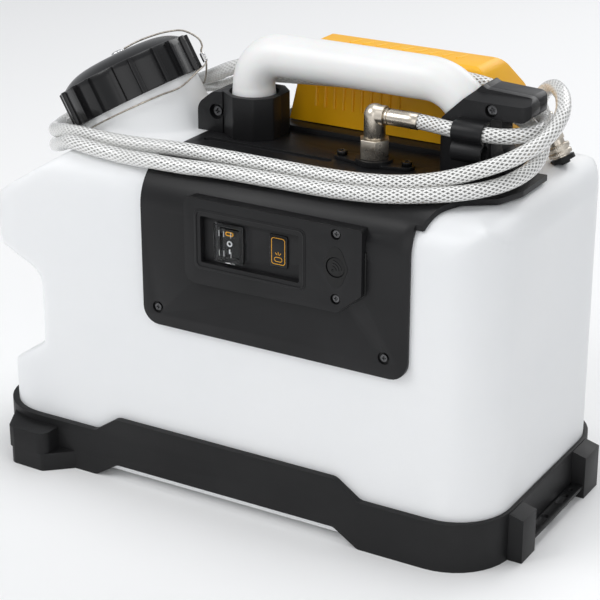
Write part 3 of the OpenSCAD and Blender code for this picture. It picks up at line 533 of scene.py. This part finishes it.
def loop_xz(x, z, width, height, radius, y, steps=6):
    """Rounded rectangle in a plane that faces -Y, centred on x and z."""
    line = []
    for k, (sx, sz) in enumerate(((1, 1), (-1, 1), (-1, -1), (1, -1))):
        cx, cz = x + sx * (width / 2 - radius), z + sz * (height / 2 - radius)
        for i in range(steps + 1):
            a = math.radians(90 * k + 90 * i / steps)
            line.append((cx + radius * math.cos(a), y, cz + radius * math.sin(a)))
    return line


def arc_xz(x, z, radius, start, stop, y, steps=10):
    """Arc in a plane that faces -Y, from start to stop degrees."""
    angles = np.radians(np.linspace(start, stop, steps + 1))
    return [(x + radius * math.cos(a), y, z + radius * math.sin(a)) for a in angles]


# ---------- cords ----------

# Millimetres. The hose lies in the clip at CLIP_Y and ends at COUPLER_TOP, where its ferrule starts.
CLIP_Y = -34.6
COUPLER_TOP = (186, 60, 318)
HOSE_ROUTE = [
    (122, -28, 325.5), (125, -28, 325.5), (137, -30.8, 325.7), (152, CLIP_Y, 326),
    (166, CLIP_Y, 326), (181, CLIP_Y, 326),
    # first turn round the hook's arm and back between the handle and the battery cover
    (196, -30.5, 326), (206, -21.5, 326.5), (211.5, -8, 327), (211, 5, 327), (206, 17, 329),
    (190, 23.5, 335.5), (165, 23, 344), (140, 20.5, 349), (105, 20, 349), (65, 20, 348),
    (25, 20, 346), (-15, 20, 343), (-50, 21, 337), (-80, 26, 327),
    # behind the neck and round its foot on the sloping nose
    (-105, 40, 315), (-130, 59, 303), (-158, 68, 290), (-187, 64.5, 277), (-209, 48, 265),
    (-223, 24, 256), (-227, -4, 252.5), (-220, -33, 256), (-202, -60, 264), (-178, -84, 275),
    (-156, -98.5, 284.2), (-130, -103.5, 284),
    # along the front edge of the deck
    (-100, -105, 282.8), (-73, -109, 284.8), (-40, -109, 285.5), (-10, -107, 286.5),
    (40, -106, 287), (90, -105, 287.5), (130, -101, 289.5), (165, -90, 292.5), (190, -72, 294.5),
    (206, -48, 297),
    # second turn, under the first behind the handle and above it at the neck
    (212, -20, 301), (209, 6, 308), (198, 22, 316), (180, 25, 324), (160, 22.5, 330),
    (138, 20.5, 335), (105, 20, 336.3), (65, 20, 335.3), (25, 20, 333), (-15, 20, 330),
    (-50, 27.5, 324), (-80, 36, 312.5), (-107, 54, 301), (-134, 73, 293), (-162, 84, 285),
    (-192, 80, 276.5), (-214, 60, 271), (-226, 30, 268.5), (-229, -2, 268), (-220, -33, 269.5),
    (-202, -59, 276.5), (-176, -77, 284.5), (-148, -87, 288.5), (-120, -90, 288.8),
    (-90, -91.5, 290.3), (-55, -93, 292.8), (-10, -94, 293.6), (40, -94, 293.6), (90, -93.5, 294),
    (130, -91, 296.5), (162, -82, 301),
    # free end rises, loops over and comes down into the stowed coupler
    (188, -68, 308), (211, -48, 317), (225, -24, 328), (225, 2, 338), (216, 25, 344.5),
    (204, 42, 346), (195, 52, 343.5), (186.5, 58.5, 337), (182.5, 60, 327.5),
    (184.6, 60, 320.6), COUPLER_TOP,
]
HOSE_D = 12
WIRE_D = 1.5


def supply_hose():
    """Braided hose from the elbow's ferrule to the stowed coupler."""
    line = spline(HOSE_ROUTE) * MM
    hose = swept_tube("supply_hose_braided", line, HOSE_D / 2 * MM, 32)
    finish_piece(hose, "root", "braided_hose", replaced=["supply_hose"])


def neck_frame():
    """Matrix from the neck's own frame to the row frame, from the cap's joint."""
    turn = next(j for j in frame["joints"] if j["name"] == "cap_turn")
    z = Vector(turn["axis"]).normalized()
    y = Vector((0, 1, 0))
    return Matrix.Translation(turn["pos_m"]) @ Matrix((y.cross(z), y, z)).transposed().to_4x4()


# In the neck's own frame, in millimetres: the crimp's bearing, its distance from the axis, half
# the spacing of its wires, the radius of the loop round the neck, and the crimp's own size.
CRIMP_A = math.radians(27.4)
CRIMP_REACH = 65.1
CRIMP_PITCH = 1.2
WIRE_LOOP_R = 57.2
CRIMP_LENGTH = 8
CRIMP_HALF = (2.2, 3.35)


def over(t, z, side):
    """Point at t from the neck's axis and height z, beside the crimp's plane, in millimetres."""
    return (t * math.cos(CRIMP_A) - side * CRIMP_PITCH * math.sin(CRIMP_A),
        t * math.sin(CRIMP_A) + side * CRIMP_PITCH * math.cos(CRIMP_A), z)


def lanyard():
    """Wire from the stud over the cap's edge, through the crimp and once round the neck."""
    rise = [(6.4, 43), (17, 43.6), (30, 42.8), (45, 40.2), (58.6, 35), (67.2, 24.5), (68, 17),
        (CRIMP_REACH, 12.5), (CRIMP_REACH, 2.6)]
    route = [over(t, z, 1) for t, z in rise]
    for a in range(46, 347, 20):
        angle = math.radians(a)
        route.append((WIRE_LOOP_R * math.cos(angle), WIRE_LOOP_R * math.sin(angle),
            -8.5 - 2.5 * math.sin(angle)))
    route += [(60.5, 9, -2), over(CRIMP_REACH, 2.2, -1), over(CRIMP_REACH, 8.5, -1)]
    line = np.array([NECK @ (Vector(p) * MM) for p in spline(route, 6)])
    wire = swept_tube("lanyard_wire_twisted", line, WIRE_D / 2 * MM, 10)
    finish_piece(wire, "cap_lift", "steel_wire", replaced=["lanyard_wire"])
    lanyard_crimp()


def lanyard_crimp():
    """Oval sleeve pressed over both runs of the wire, with rolled bands."""
    bands, steps = 17, 40
    points, faces = [], []
    centre = Vector(over(CRIMP_REACH, 7.2, 0))
    radial = Vector((math.cos(CRIMP_A), math.sin(CRIMP_A), 0))
    across = Vector((-math.sin(CRIMP_A), math.cos(CRIMP_A), 0))
    for i in range(bands):
        height = CRIMP_LENGTH * (i / (bands - 1) - 0.5)
        swell = 0.1 * math.cos(math.pi * height) - (0.35 if i in (0, bands - 1) else 0)
        for k in range(steps):
            a = 2 * math.pi * k / steps
            x, y = (CRIMP_HALF[0] + swell) * math.cos(a), (CRIMP_HALF[1] + swell) * math.sin(a)
            points.append(NECK @ ((centre + radial * x + across * y + Vector((0, 0, height))) * MM))
    for i in range(bands - 1):
        for k in range(steps):
            n = (k + 1) % steps
            faces.append((i * steps + k, i * steps + n, (i + 1) * steps + n, (i + 1) * steps + k))
    faces.append(tuple(range(steps))[::-1])
    faces.append(tuple(range((bands - 1) * steps, bands * steps)))
    crimp = plain_mesh("lanyard_crimp_rolled", points, faces)
    return finish_piece(crimp, "cap_lift", "crimp_metal", replaced=["lanyard_crimp"])


# Millimetres: the coupler's ferrule, then its collar, which starts COLLAR_START past the hose's end.
FERRULE_LENGTH = 17
COLLAR_START = 26.2
COLLAR_INNER = 7.1
COLLAR_R = 9.3


def ferrule(name, node, origin, axis, length, radius, inner):
    """Polished ferrule: stop ring, a narrow groove, a plain barrel and a rolled mouth."""
    profile = [(inner, 0), (radius - 0.4, 0), (radius, 0.4), (radius, 2.6), (radius - 0.9, 2.9),
        (radius - 0.9, 3.6), (radius - 0.15, 4.0), (radius - 0.15, 0.6 * length),
        (radius, 0.62 * length), (radius, length - 0.7), (radius - 0.5, length), (inner, length)]
    piece = turned(name, profile, origin, axis)
    return finish_piece(piece, BODY[node], SLOTS[node], sharp=60, replaced=[node])


def coupler():
    """Ferrule and knurled collar of the quick coupler that stows the hose's free end."""
    slide = next(j for j in frame["joints"] if j["name"] == "sleeve_slide")
    down = -Vector(slide["axis"]).normalized()
    top = Vector(COUPLER_TOP) * MM
    end = ferrule("coupler_ferrule_pressed", "coupler_ferrule", top, down, FERRULE_LENGTH, 7.2, 4)
    knurls = 40

    def knurl(angle, height):
        return 0.3 * abs(math.sin(knurls / 2 * angle))

    rim, groove = COLLAR_R - 0.3, COLLAR_R - 0.5
    profile = [(COLLAR_INNER, 0), (rim, 0), (COLLAR_R, 0.5, 1), (COLLAR_R, 3.2, 1), (groove, 3.6),
        (groove, 5.0), (COLLAR_R, 5.4, 1), (COLLAR_R, 8.1, 1), (rim, 8.6), (COLLAR_INNER, 8.6)]
    start = top + down * COLLAR_START * MM
    collar = turned("coupler_sleeve_knurled", profile, start, down, 160, relief_at=knurl)
    finish_piece(collar, "sleeve", "nickel_plate", sharp=60, replaced=["coupler_sleeve"])
    return {"ferrule": end, "sleeve": collar}


def elbow_ferrule():
    """Ferrule that holds the hose on the elbow; it fills the length of its CAD node."""
    low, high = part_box("elbow_ferrule")
    start = (low.x, (low.y + high.y) / 2, (low.z + high.z) / 2)
    length = (high.x - low.x) / MM
    ferrule("elbow_ferrule_pressed", "elbow_ferrule", start, (1, 0, 0), length, 6.6, 4)


# ---------- cap ----------

# Millimetres: outer and inner radius, height of the ribbed side and of the dome, the underside of
# the roof and the stud's hole. Ribs stand in pairs, RIB_LEAD to each side of the pair's middle.
CAP_R = 57
CAP_MOUTH_R = 54.6
CAP_SIDE = 31
CAP_DOME = 10
CAP_ROOF = 26.4
STUD_HOLE_R = 4.3
CAP_PAIRS = 9
RIB_PHASE = math.radians(-14)
RIB_LEAD = math.radians(9) * CAP_R
RIB_HALF = 2.0


def cap_relief(angle, height):
    """Two grip ribs with a sunk channel between them, repeated round the cap."""
    pitch = 2 * math.pi / CAP_PAIRS
    arc = abs((angle - RIB_PHASE + pitch / 2) % pitch - pitch / 2) * CAP_R
    flank, proud, sunk = 0.45, 2.85, 1.1
    rib = min(1.0, max(0.0, (RIB_HALF + 0.1 - abs(arc - RIB_LEAD)) / flank))
    channel = -sunk if arc < RIB_LEAD - RIB_HALF else 0
    return proud * rib + channel


def cap():
    """Screw cap: ribbed side, narrow shoulder and a full dome with a hole for the stud."""
    side_rows, dome_rows = 6, 30
    profile = [(CAP_MOUTH_R, 0), (CAP_R - 0.6, 0, 1), (CAP_R, 0.6, 1)]
    profile += [(CAP_R, CAP_SIDE * k / side_rows, 1) for k in range(1, side_rows)]
    profile += [(CAP_R, CAP_SIDE - 0.6, 1), (CAP_R - 0.5, CAP_SIDE, 1), (CAP_R - 2.0, CAP_SIDE + 0.2)]
    dome_r = CAP_R - 2.4
    for k in range(1, dome_rows + 1):
        r = dome_r + (STUD_HOLE_R - dome_r) * (k / dome_rows) ** 1.5
        profile.append((r, CAP_SIDE + 0.2 + (CAP_DOME - 0.2) * (1 - (r / dome_r) ** 4.5)))
    profile += [(STUD_HOLE_R, CAP_ROOF), (CAP_MOUTH_R, CAP_ROOF)]
    origin, axis = NECK.translation, NECK.to_3x3().col[2]
    piece = turned("cap_shell_ribbed", profile, origin, axis, 1080, cap_relief)
    finish_piece(piece, "cap", "cap_plastic", sharp=42, replaced=["cap_shell"])


def cap_stud():
    """Stud through the cap: broad foot, shank and a domed head with a small dimple."""
    profile = [(0.01, 22.4), (8.9, 22.4), (8.9, 25.0), (3.9, 25.2), (3.9, 41.4), (5.4, 41.4),
        (5.5, 42.4), (4.9, 43.4), (3.2, 44.0), (2.2, 43.9), (2.0, 42.8), (0.01, 42.8)]
    piece = turned("cap_stud_turned", profile, NECK.translation, NECK.to_3x3().col[2], 48)
    finish_piece(piece, "cap_lift", "crimp_metal", sharp=50, replaced=["cap_stud"])


# ---------- panel details ----------

# Middle of the pod's recess, in millimetres.
RECESS_X = 29
RECESS_Z = 236


def face_of(node):
    """X, Y and Z of the middle of the side of a CAD node that faces -Y."""
    low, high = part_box(node)
    return (low.x + high.x) / 2, low.y, (low.z + high.z) / 2


def rocker_marks():
    """Plain I and O on the rocker, and an outlined pill above them."""
    x, y, z = face_of("switch_rocker")
    ring = arc_xz(x, z - 0.6 * MM, 1.9 * MM, 0, 330, y - 0.05 * MM, 14)
    bar = [(x, y - 0.1 * MM, z - 8.6 * MM), (x, y - 0.1 * MM, z - 5.2 * MM)]
    marks = strokes("rocker_marks", [(ring, True), (bar, False)], 0.6 * MM)
    finish_piece(marks, "rocker", "switch_plastic", "print_white")
    pill = loop_xz(x, z + 7.4 * MM, 6.4 * MM, 2.6 * MM, 1.2 * MM, y - 0.1 * MM)
    outline = strokes("rocker_pill", [(pill, True)], 0.5 * MM)
    finish_piece(outline, "rocker", "switch_plastic", "print_amber")


def window_marks():
    """Amber outline in the window, and at its foot a lamp mark with three rays."""
    x, y, z = face_of("indicator_window")
    lines = [(loop_xz(x, z, 11.6 * MM, 21 * MM, 2 * MM, y), True),
        (loop_xz(x, z - 6.6 * MM, 6.6 * MM, 3.4 * MM, 1.6 * MM, y), True)]
    foot = Vector((x, y, z - 4.4 * MM))
    for lean in (-38, 0, 38):
        a = math.radians(90 + lean)
        way = Vector((math.cos(a), 0, math.sin(a)))
        lines.append(([foot + way * 1.6 * MM, foot + way * 4.0 * MM], False))
    marks = strokes("window_marks", lines, 0.24 * MM)
    finish_piece(marks, "root", "window_gloss", "print_amber")


def button_marks():
    """Radio mark on the button: a dot and three arcs round it."""
    x, y, z = face_of("pairing_button")
    corner = (x - 3.2 * MM, z - 3.2 * MM)
    lines = [(arc_xz(*corner, r * MM, 8, 82, y), False) for r in (3.4, 5.8, 8.2)]
    lines.append((arc_xz(*corner, 0.7 * MM, 0, 330, y, 8), True))
    marks = strokes("button_marks", lines, 0.5 * MM)
    finish_piece(marks, "button", "switch_plastic", "switch_plastic")


def pod_bezel():
    """Raised rounded frame round the pod's recess, and the faint seam across the recess."""
    front_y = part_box("control_pod")[0].y
    x, z = RECESS_X * MM, RECESS_Z * MM
    frames = [(loop_xz(x, z, width * MM, height * MM, 4.5 * MM, front_y + sink * MM), True)
        for width, height, sink in ((98, 48, 0.3), (96, 46, 0.0))]
    bead = strokes("pod_bezel", frames, 0.9 * MM)
    finish_piece(bead, "root", "console_plastic")
    back_y, seam_z = front_y + 7 * MM, z - 1 * MM
    seams = [([(start * MM, back_y, seam_z), (stop * MM, back_y, seam_z)], False)
        for start, stop in ((-15, -4), (22, 47), (64.5, 73))]
    finish_piece(strokes("recess_seam", seams, 0.16 * MM), "root", "console_plastic")


def pod_painted_shadow():
    """Black bead where the pod meets the panel, down one side, along its foot and up: painted shadow for the shade
    at the pod's rounded edge.
    """
    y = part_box("console_cover")[0].y - 0.15 * MM
    left, right, top, corner_r = -30.3, 126.8, 250, 10.3
    corner = arc_xz((left + corner_r) * MM, 208 * MM, corner_r * MM, 180, 270, y)
    cut_corner = ((106, 199.7), (right, 216.8), (right, top))
    line = [(left * MM, y, top * MM)] + corner + [(x * MM, y, z * MM) for x, z in cut_corner]
    # The glossy black bead is painted shadow along the pod's edge, not a seam in the moulding.
    finish_piece(strokes("pod_painted_shadow", [(line, False)], 0.9 * MM), "root", "seal_rubber", "switch_plastic")


def button_surround():
    """Thin dark lobed plate round the button."""
    x, _, z = face_of("pairing_button")
    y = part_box("control_pod")[0].y
    count, inner, proud, sunk = 96, 8.1 * MM, -0.25, 0.3
    half_width, half_height, lobe = 9.6, 15.5, 0.7 * MM
    points = []
    for k in range(count):
        a = 2 * math.pi * k / count
        side, top = math.cos(a), math.sin(a)
        reach = MM / math.hypot(side / half_width, top / half_height) + lobe * math.cos(4 * a)
        section = ((inner, sunk), (inner, proud), (reach, proud), (reach + 0.3 * MM, sunk))
        for radius, depth in section:
            points.append((x + radius * side, y + depth * MM, z + radius * top))
    faces = []
    for k in range(count):
        n = (k + 1) % count
        for i in range(4):
            j = (i + 1) % 4
            faces.append((4 * k + i, 4 * k + j, 4 * n + j, 4 * n + i))
    plate = plain_mesh("button_surround", points, faces)
    finish_piece(plate, "root", "switch_plastic", sharp=30)


def boot_ticks():
    """Fine moulded ticks inside the rocker's clear boot."""
    x, front_y, z = face_of("switch_boot")
    y, half = front_y + 0.7 * MM, 2.4
    lines = [([(x + dx * MM, y, z + (dz - half) * MM), (x + dx * MM, y, z + (dz + half) * MM)], False)
        for dx in (-7.4, -3.2, 3.2) for dz in (-8, 8)]
    finish_piece(strokes("boot_ticks", lines, 0.26 * MM), "root", "clear_plastic", "print_white")


# ---------- battery cover ----------


def cover_grips():
    """Finger ribs on the cover's leaning front and short ridges on its top behind the front edge."""
    low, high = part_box("battery_cover")
    foot_z, lean, proud = 290.6, 4 / 66.4, 0.2
    rib_ends = [(low.y + ((z - foot_z) * lean - proud) * MM, z * MM) for z in (305, 330)]
    ribs = [([((-2 + 8.4 * k) * MM, y, z) for y, z in rib_ends], False) for k in range(10)]
    finish_piece(strokes("cover_front_ribs", ribs, 1.5 * MM), "lid", "cover_yellow")
    edge = high.z - 0.6 * MM
    ridges = [([(x * MM, 50 * MM, edge), ((x + 4) * MM, 62 * MM, edge - 0.2 * MM)], False)
        for x in range(18, 122, 12)]
    finish_piece(strokes("cover_top_ridges", ridges, 1.3 * MM), "lid", "cover_yellow")


# ---------- assembly ----------

# Rounding of each node's edges: width in millimetres, and segments.
ROUNDED = {
    "base_ring": (1.6, 3), "latch_plate": (0.5, 2), "console_cover": (1.3, 3), "rear_tray": (1.2, 3),
    "control_pod": (2.2, 4), "switch_body": (0.5, 2), "switch_rocker": (0.5, 2),
    "switch_boot": (0.25, 2), "indicator_window": (0.35, 2), "pairing_button": (0.7, 3),
    "control_board": (0.2, 2), "panel_screws": (0.3, 2), "pod_screws": (0.3, 2),
    "left_bracket_front": (1.8, 3), "left_bracket_rear": (1.8, 3), "right_bracket_front": (2.0, 3),
    "right_bracket_rear": (2.0, 3), "bracket_screws": (0.3, 2), "hose_clip": (0.9, 3),
    "outlet_flange": (1.0, 3), "flange_screws": (0.35, 2), "outlet_nut": (0.5, 3),
    "outlet_elbow": (0.7, 3), "coupler_rest": (0.5, 2), "battery_cover": (1.6, 3),
    "battery_dock": (0.6, 2), "battery_pack": (1.2, 3), "battery_release": (0.5, 2),
    "pump_motor": (0.8, 2), "pump_head": (1.0, 2), "pump_cradle": (0.6, 2),
    "pressure_switch": (0.8, 2), "intake_strainer": (0.4, 2),
}

make_camera()
MATERIALS = make_materials()
make_studio()
NECK = neck_frame()
COUPLER = coupler()
supply_hose()
lanyard()

for name, cad_node in frame["nodes"].items():
    cad_node.data.materials.clear()
    cad_node.data.materials.append(MATERIALS[SLOTS[name]])

blown_copy("tank", voxel=2.4, passes=10)
for name, (width, segments) in ROUNDED.items():
    rounded_copy(name, width, segments)
cap()
cap_stud()
elbow_ferrule()
rocker_marks()
window_marks()
button_marks()
pod_bezel()
# Painted shadow: a black bead along the pod's edge on the panel.
pod_painted_shadow()
button_surround()
boot_ticks()
cover_grips()
